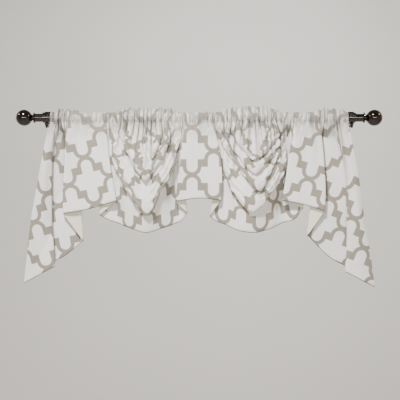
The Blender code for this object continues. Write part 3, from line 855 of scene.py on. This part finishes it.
def threads(nodes, u, v, pitch):
    """The height of a plain weave, its threads this far apart and of uneven thickness."""
    uneven = grain(nodes, u, v, THREADS_UNEVEN)
    warp = nodes.math("SINE", nodes.times(u, 2 * math.pi / pitch))
    weft = nodes.math("SINE", nodes.times(v, 2 * math.pi / pitch))
    woven = nodes.math("MULTIPLY_ADD", nodes.times(warp, weft), 0.5, 0.5)
    return nodes.math("MULTIPLY_ADD", uneven, UNEVEN_BY, woven)


def pressed_edge(nodes):
    """A dip where the seam allowance ends inside the cloth, just in from its edges."""
    side, hem = cloth_places(nodes, "lie")
    from_edge = nodes.math("MINIMUM", side, hem)
    past = nodes.math("DIVIDE", nodes.less(from_edge, SEAM_ALLOWANCE), SEAM_SOFTNESS)
    return nodes.math("SMOOTH_MIN", nodes.times(past, -1.0), 1.0, 1.0)


# Fine upright creases of the heading, drawn with painted shade and bump along the middle of a noise: how
# fast it changes along the rod and down it, how thin they are, and how they fade below.
CREASES_ACROSS = 58.0
CREASES_DOWN = 15.0
CREASES_THIN = 6.0
CREASES_FADE = 13.0
CREASES_START = 1.2
FINE_CREASES_SHARE = 0.85


def gathered(nodes):
    """How creased each place is, by the heading's fine creases and by those between pleats: the mask of the
    painted crease shade and of the creases' bump.
    """
    split = nodes.add("ShaderNodeSeparateXYZ")
    nodes.link(nodes.add("ShaderNodeTexCoord").outputs["Object"], split.inputs[0])
    x, _, z = split.outputs
    along = nodes.times(x, CREASES_ACROSS)
    place = joined(nodes, along, 0.0, nodes.times(z, CREASES_DOWN))
    away = nodes.math("ABSOLUTE", nodes.less(nodes.noise(place, 1.0), 0.5))
    line = nodes.less(1.0, nodes.math("MULTIPLY", away, CREASES_THIN, clamp=True))
    strong = nodes.math("MULTIPLY_ADD", z, CREASES_FADE, CREASES_START, clamp=True)
    fine = nodes.times(nodes.times(line, strong), FINE_CREASES_SHARE)
    return nodes.math("MAXIMUM", fine, cloth_places(nodes, "crease")[0])


def printed_cotton():
    """Off-white plain-woven cotton with the taupe trellis printed on it."""
    nodes = Nodes("printed_cotton")
    u, v = cloth_places(nodes, "print")
    ragged = nodes.less(grain(nodes, u, v, PRINT_RAGGED), 0.5)
    ragged = nodes.times(ragged, RAGGED_BY)
    depth = nodes.math("MINIMUM", cell_depth(nodes, u, v, 0.0), cell_depth(nodes, u, v, 0.5))
    depth = nodes.math("ADD", depth, ragged)
    inked = nodes.math("MULTIPLY_ADD", depth, 0.5 / PRINT_EDGE, 0.5, clamp=True)
    weave = threads(nodes, u, v, COTTON_PITCH)
    ground = toned(nodes, grain(nodes, u, v, SLUB), SLUB_TONE, GROUND)
    ink = toned(nodes, weave, WOVEN_TONE, TAUPE)
    ink = toned(nodes, grain(nodes, u, v, INK_PATCHY), PATCHY_TONE, TAUPE, ink)
    colour = nodes.mix(inked, ground, ink)
    crease = gathered(nodes)
    # Painted shade: the colour goes darker along the gathers' creases and the heading's fine creases.
    colour = nodes.mix(nodes.times(crease, CREASE_SHADE_SHARE), colour, CREASE_PAINTED_SHADE)
    # Painted shade: a thin dark line along the hem, where the turned edge lies in shade.
    to_hem = cloth_places(nodes, "lie")[1]
    edge = nodes.math("DIVIDE", nodes.less(HEM_FADE + HEM_LINE, to_hem), HEM_FADE, clamp=True)
    colour = nodes.mix(nodes.times(edge, HEM_SHADE_SHARE), colour, HEM_SHADE)
    nodes.set(Base_Color=colour, Roughness=0.85, Sheen_Weight=0.12, Sheen_Roughness=0.5)
    normal = nodes.bump(grain(nodes, u, v, WRINKLES), COTTON_WRINKLED)
    normal = nodes.bump(nodes.less(1.0, crease), COTTON_CREASED, normal)
    normal = nodes.bump(pressed_edge(nodes), COTTON_EDGED, normal)
    nodes.set(Normal=nodes.bump(weave, COTTON_WOVEN, normal))
    return nodes.material


def cream_lining():
    """Plain cream lining cotton."""
    nodes = Nodes("cream_lining")
    u, v = cloth_places(nodes, "print")
    slub = grain(nodes, u, v, LINING_SLUB)
    nodes.set(Base_Color=toned(nodes, slub, LINING_TONE, CREAM), Roughness=0.78)
    normal = nodes.bump(grain(nodes, u, v, WRINKLES), LINING_WRINKLED)
    nodes.set(Normal=nodes.bump(threads(nodes, u, v, LINING_PITCH), LINING_WOVEN, normal))
    return nodes.material


def dark_bronze(name, colour, rough):
    """Dark bronze plating with faint mottling, brushing and a clear lacquer."""
    nodes = Nodes(name)
    place = nodes.add("ShaderNodeTexCoord").outputs["Object"]
    mottle = nodes.noise(place, BRONZE_MOTTLE, 3.0)
    least = rough - 0.5 * BRONZE_ROUGH_SWING
    nodes.set(Base_Color=toned(nodes, mottle, BRONZE_TONE, colour), Metallic=1.0)
    nodes.set(Roughness=nodes.math("MULTIPLY_ADD", mottle, BRONZE_ROUGH_SWING, least))
    nodes.set(Normal=nodes.bump(nodes.noise(place, BRONZE_BRUSH), BRONZE_BRUSHED))
    nodes.set(Coat_Weight=1.0, Coat_Roughness=0.09)
    return nodes.material


PRINTED = printed_cotton()
LINING = cream_lining()
METALS = {
    "dark_metal": dark_bronze("satin_bronze", (0.020, 0.015, 0.012), 0.15),
    "polished_metal": dark_bronze("glossy_bronze", (0.015, 0.009, 0.005), 0.14),
}


# ---- meshes
# Edges that turn more than this stay sharp.
CLOTH_SHARP = math.radians(75)
METAL_SHARP = math.radians(35)


def lie(rows):
    """How far each point of a sheet is from its side edges, along the hem, and from its hem."""
    left = run(rows[-1], 0)
    hem = run(rows[::-1], 0)[::-1]
    return np.broadcast_to(np.minimum(left, left[-1] - left), hem.shape), hem


def sheet(name, rows, thick, layers, material):
    """A closed sheet of even thickness about a grid of middle points, with its UV layers."""
    out = print_side(rows)
    high, wide = rows.shape[:2]
    skins = [rows + out * 0.5 * thick, rows - out * 0.5 * thick]
    points = np.concatenate([skin.reshape(-1, 3) for skin in skins]) * MM
    points[:, 1] *= -1
    front, back = np.arange(2 * high * wide).reshape(2, high, wide)

    def quads(a, b, c, d):
        return np.stack([a, b, c, d], axis=-1).reshape(-1, 4)

    faces = np.concatenate(
        [
            quads(front[:-1, :-1], front[1:, :-1], front[1:, 1:], front[:-1, 1:]),
            quads(back[:-1, :-1], back[:-1, 1:], back[1:, 1:], back[1:, :-1]),
            quads(front[:-1, 0], back[:-1, 0], back[1:, 0], front[1:, 0]),
            quads(front[:-1, -1], front[1:, -1], back[1:, -1], back[:-1, -1]),
            quads(front[0, :-1], front[0, 1:], back[0, 1:], back[0, :-1]),
            quads(front[-1, :-1], back[-1, :-1], back[-1, 1:], front[-1, 1:]),
        ]
    )
    mesh = bpy.data.meshes.new(name)
    mesh.from_pydata(points.tolist(), [], faces.tolist())
    corners = np.empty(len(mesh.loops), dtype=np.int32)
    mesh.loops.foreach_get("vertex_index", corners)
    for layer_name, pair in layers.items():
        layer = mesh.uv_layers.new(name=layer_name)
        flat = np.stack([np.tile(place.reshape(-1), 2) for place in pair], axis=1) * MM
        layer.data.foreach_set("uv", flat[corners].astype(np.float32).reshape(-1))
    mesh.shade_smooth()
    mesh.set_sharp_from_angle(angle=CLOTH_SHARP)
    mesh.update()
    return in_scene(name, mesh, material)


# The share of its first row by which the lining starts below the stitching.
LINING_STARTS = 0.3


def dress_cloth():
    """The printed face and its lining."""
    grid, x_rod, creases = face_rows()
    columns = fine_columns(x_rod)
    rows = grid[:, columns]
    places = print_places(rows, columns)
    creases = creases[:, columns]
    # The crease layer holds the mask of the painted shade in the creases between pleats.
    layers = {"print": places, "lie": lie(rows), "crease": (creases, np.zeros_like(creases))}
    face = sheet("printed_face", rows, FACE_THICK, layers, PRINTED)
    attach(face, "root")
    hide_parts("valance_face")

    lining_rows = rows[len(POCKET) :]
    behind = lining_rows - print_side(lining_rows) * (0.5 * FACE_THICK + LINING_GAP + 0.5 * LINING_THICK)
    behind[0] += (behind[1] - behind[0]) * LINING_STARTS
    lining = sheet("cream_lining", behind, LINING_THICK, {"print": places[:, len(POCKET) :]}, LINING)
    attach(lining, "root")
    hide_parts("valance_lining")


# ---- rod and brackets
# The rod's ends and the step in its tube, the brackets and their cradles, the gaps of
# rod and cradle and of other parts, and the finials' balls.
ROD_END = 609.2
ROD_JOINT = 150.0
BRACKET_X = 568.0
CRADLE_WIDTH = 24.0
CRADLE_THICK = 3.0
CRADLE_FRONT_TOP = 17.0
CRADLE_BACK_TOP = 25.0
CRADLE_STEPS = 32
CRADLE_EDGE = 0.7
FIT_GAP = 0.4
PART_GAP = 0.3
TURNED_SIDES = 72
BALL_RADIUS = 30.5
BALL_AT = 42.0
BALL_STEPS = 36
BALL_FROM = math.radians(20)
BALL_TO = math.radians(178)
PLATE_SCREW_AT = 19.0

# Rings of a turned part: radius, and how far along its axis.
Ring = namedtuple("Ring", "radius along")
ROD_PROFILE = table(
    Ring,
    (14.8, -ROD_END), (15.4, -ROD_END + 0.3), (ROD_RADIUS, -ROD_END + 0.9),
    (ROD_RADIUS, -ROD_END + 1.6), (ROD_RADIUS, ROD_JOINT - 1.5), (ROD_RADIUS, ROD_JOINT - 0.8),
    (15.3, ROD_JOINT), (14.8, ROD_JOINT + 0.1), (14.8, ROD_JOINT + 0.8), (14.8, ROD_END - 1.5),
    (14.8, ROD_END - 0.8), (14.3, ROD_END),
)
COLLAR_PROFILE = table(
    Ring,
    (12.4, 0.0), (15.6, 0.1), (17.0, 0.6), (17.2, 1.4), (18.6, 1.7), (20.1, 2.6), (20.5, 3.7),
    (20.1, 4.8), (18.4, 5.8), (15.5, 6.4), (12.6, 7.2), (10.8, 8.6), (10.2, 10.0), (10.5, 11.2),
    (12.2, 12.0), (12.8, 12.9), (12.2, 13.7), (10.6, 14.1),
)
PLATE_PROFILE = table(
    Ring,
    (29.6, 0.0), (30.0, 0.5), (30.0, 2.4), (29.4, 3.4), (28.0, 3.9), (26.0, 4.0), (25.4, 3.5),
    (24.6, 3.5), (24.0, 4.0), (12.5, 4.0), (11.0, 4.6), (9.2, 6.2), (7.6, 8.6), (6.4, 12.0),
    (6.0, 17.0), (6.0, 63.5), (6.6, 64.5), (8.2, 65.1), (8.6, 66.5), (8.2, 68.1), (7.0, 68.9),
    (6.6, 72.6),
)
SCREW_HEAD_PROFILE = table(Ring, (4.4, 3.8), (4.4, 4.3), (4.0, 5.0), (2.8, 5.7), (1.4, 6.0))
THUMB_SCREW_PROFILE = table(
    Ring,
    (0.9, -19.0), (2.2, -18.6), (3.4, -17.2), (5.6, -8.4), (6.3, -5.2), (6.5, -3.8), (6.5, -1.0),
    (6.1, -0.2), (5.4, 0.0),
)


def placed(x, forward, z):
    """The move to a place given in millimetres."""
    return Matrix.Translation((x * MM, -forward * MM, z * MM))


def turned(mesh, profile, place):
    """Adds the closed turned shape of a profile, put in its place."""
    rings = []
    for ring in profile:
        angles = [2 * math.pi * k / TURNED_SIDES for k in range(TURNED_SIDES)]
        points = [Vector((ring.radius * math.cos(a), ring.radius * math.sin(a), ring.along)) for a in angles]
        rings.append([mesh.verts.new(place @ (point * MM)) for point in points])
    for low, high in zip(rings, rings[1:]):
        for k in range(TURNED_SIDES):
            n = (k + 1) % TURNED_SIDES
            mesh.faces.new((low[k], low[n], high[n], high[k]))
    mesh.faces.new(reversed(rings[0]))
    mesh.faces.new(rings[-1])


def hardware(name, solid, slot, node):
    """A metal piece that stands for a CAD node."""
    bmesh.ops.recalc_face_normals(solid, faces=solid.faces)
    mesh = bpy.data.meshes.new(name)
    solid.to_mesh(mesh)
    solid.free()
    mesh.shade_smooth()
    mesh.set_sharp_from_angle(angle=METAL_SHARP)
    thing = in_scene(name, mesh, METALS[slot])
    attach(thing, "root")
    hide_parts(node)


def ball_profile():
    """The rings of a finial's ball, from the neck to its tip."""
    angles = np.linspace(BALL_FROM, BALL_TO, BALL_STEPS)
    return [Ring(BALL_RADIUS * math.sin(a), BALL_AT - BALL_RADIUS * math.cos(a)) for a in angles]


def cradle_outline():
    """A cradle strap from the side: along its seat to the back, then under it to the front."""
    inner, outer = ROD_RADIUS + FIT_GAP, ROD_RADIUS + FIT_GAP + CRADLE_THICK
    turns = [math.pi * k / CRADLE_STEPS for k in range(CRADLE_STEPS + 1)]
    seat = [(inner * math.cos(t), -inner * math.sin(t)) for t in turns]
    under = [(outer * math.cos(t), -outer * math.sin(t)) for t in reversed(turns)]
    back = [(-inner, CRADLE_BACK_TOP - CRADLE_THICK), (-outer, CRADLE_BACK_TOP)]
    front = [(outer, CRADLE_FRONT_TOP), (inner, CRADLE_FRONT_TOP - CRADLE_EDGE)]
    return seat + back + under + front


def cradle(solid, x_middle):
    """Adds the strap that holds the rod, its edges eased."""
    strap = bmesh.new()
    ends = [
        [
            strap.verts.new(((x_middle + x) * MM, -(ROD_FORWARD + forward) * MM, z * MM))
            for forward, z in cradle_outline()
        ]
        for x in (-0.5 * CRADLE_WIDTH, 0.5 * CRADLE_WIDTH)
    ]
    count = len(ends[0])
    for k in range(count):
        n = (k + 1) % count
        strap.faces.new((ends[0][k], ends[1][k], ends[1][n], ends[0][n]))
    sides = [strap.faces.new(reversed(ends[0])), strap.faces.new(ends[1])]
    rims = [edge for face in sides for edge in face.edges]
    bmesh.ops.bevel(strap, geom=rims, offset=CRADLE_EDGE * MM, segments=2, affect="EDGES")
    mesh = bpy.data.meshes.new("strap")
    strap.to_mesh(mesh)
    strap.free()
    solid.from_mesh(mesh)
    bpy.data.meshes.remove(mesh)


def add_hardware():
    """The rod, and on each side a finial, a bracket and its thumb screw."""
    rod = bmesh.new()
    turned(rod, ROD_PROFILE, placed(0, ROD_FORWARD, 0) @ Matrix.Rotation(math.pi / 2, 4, "Y"))
    hardware("curtain_rod", rod, "dark_metal", "rod")
    to_front = Matrix.Rotation(math.pi / 2, 4, "X")
    for end, side in (("left", -1), ("right", 1)):
        finial = bmesh.new()
        outward = placed(side * (ROD_END + PART_GAP), ROD_FORWARD, 0)
        outward = outward @ Matrix.Rotation(side * math.pi / 2, 4, "Y")
        turned(finial, COLLAR_PROFILE, outward)
        turned(finial, ball_profile(), outward)
        hardware("ball_finial_" + end, finial, "polished_metal", "finial_" + end)

        bracket = bmesh.new()
        turned(bracket, PLATE_PROFILE, placed(side * BRACKET_X, 0, 0) @ to_front)
        for height in (-PLATE_SCREW_AT, PLATE_SCREW_AT):
            turned(bracket, SCREW_HEAD_PROFILE, placed(side * BRACKET_X, 0, height) @ to_front)
        cradle(bracket, side * BRACKET_X)
        hardware("wall_bracket_" + end, bracket, "dark_metal", "bracket_" + end)

        screw = bmesh.new()
        top = -(ROD_RADIUS + FIT_GAP + CRADLE_THICK + PART_GAP)
        turned(screw, THUMB_SCREW_PROFILE, placed(side * BRACKET_X, ROD_FORWARD, top))
        hardware("thumb_screw_head_" + end, screw, "dark_metal", "thumb_screw_" + end)


add_hardware()
dress_cloth()

# ---- stage and light
# The sweep, in metres: its floor's height, where the floor ends and the wall stands,
# and how high the wall goes on above the curve.
SWEEP_FLOOR = -2.1
SWEEP_FLAT = 2.2
SWEEP_WALL = 5.2
SWEEP_TOP = 4.0
SWEEP_STEPS = 24
SWEEP_SIDES = 96
SWEEP_MOTTLE = 0.6
SWEEP_PALE = (0.64, 0.63, 0.61)
SWEEP_DARK = (0.61, 0.60, 0.58)


def add_stage():
    """A pale floor that curves up all round into a pale wall."""
    profile = [(0.0, 0.0), (SWEEP_FLAT, 0.0)]
    bend = SWEEP_WALL - SWEEP_FLAT
    for k in range(1, SWEEP_STEPS + 1):
        angle = 0.5 * math.pi * k / SWEEP_STEPS
        profile.append((SWEEP_FLAT + bend * math.sin(angle), bend * (1 - math.cos(angle))))
    profile.append((SWEEP_WALL, bend + SWEEP_TOP))
    points, faces = [], []
    for radius, height in profile:
        for k in range(SWEEP_SIDES):
            angle = 2 * math.pi * k / SWEEP_SIDES
            points.append((radius * math.cos(angle), radius * math.sin(angle), SWEEP_FLOOR + height))
    for row in range(0, (len(profile) - 1) * SWEEP_SIDES, SWEEP_SIDES):
        for k in range(SWEEP_SIDES):
            n = (k + 1) % SWEEP_SIDES
            faces.append((row + k, row + n, row + SWEEP_SIDES + n, row + SWEEP_SIDES + k))
    mesh = bpy.data.meshes.new("sweep")
    mesh.from_pydata(points, [], faces)
    mesh.shade_smooth()
    nodes = Nodes("pale_sweep")
    place = nodes.add("ShaderNodeTexCoord").outputs["Object"]
    nodes.set(Base_Color=nodes.mix(nodes.noise(place, SWEEP_MOTTLE), SWEEP_PALE, SWEEP_DARK), Roughness=0.9)
    in_scene("sweep", mesh, nodes.material)


# Area lamps: sizes in metres and energy in watts.
Lamp = namedtuple("Lamp", "name at aim wide high energy colour")
LAMPS = [
    Lamp("key", (-0.7, -2.1, 2.2), (0.0, -0.1, -0.25), 0.35, 0.35, 205, (1.0, 0.985, 0.96)),
    Lamp("fill", (0.1, -3.1, -0.05), (0.0, -0.1, -0.25), 3.4, 0.12, 44, (0.98, 0.985, 1.0)),
    Lamp("warm_left", (-3.0, -0.6, 1.6), (0.0, -0.1, -0.2), 0.5, 0.3, 26, (1.0, 0.66, 0.34)),
    Lamp("warm_right", (3.0, -0.6, 1.8), (0.0, -0.1, -0.2), 0.5, 0.3, 26, (1.0, 0.66, 0.34)),
    Lamp("back", (0.4, 2.8, 1.5), (0.0, 5.0, 0.2), 2.0, 2.0, 90, (1.0, 0.99, 0.97)),
]
WORLD_COLOUR = (1.0, 0.995, 0.985, 1.0)
WORLD_STRENGTH = 0.24


def add_lamps():
    """Soft studio light from in front, both sides and behind."""
    for lamp in LAMPS:
        light = bpy.data.lights.new(lamp.name, "AREA")
        light.shape = "RECTANGLE"
        light.size = lamp.wide
        light.size_y = lamp.high
        light.energy = lamp.energy
        light.color = lamp.colour
        thing = in_scene(lamp.name, light)
        thing.location = lamp.at
        aim = Vector(lamp.aim) - Vector(lamp.at)
        thing.rotation_euler = aim.to_track_quat("-Z", "Y").to_euler()
    world = bpy.data.worlds.new("studio")
    world.use_nodes = True
    background = world.node_tree.nodes["Background"]
    background.inputs["Color"].default_value = WORLD_COLOUR
    background.inputs["Strength"].default_value = WORLD_STRENGTH
    bpy.context.scene.world = world


add_stage()
add_lamps()
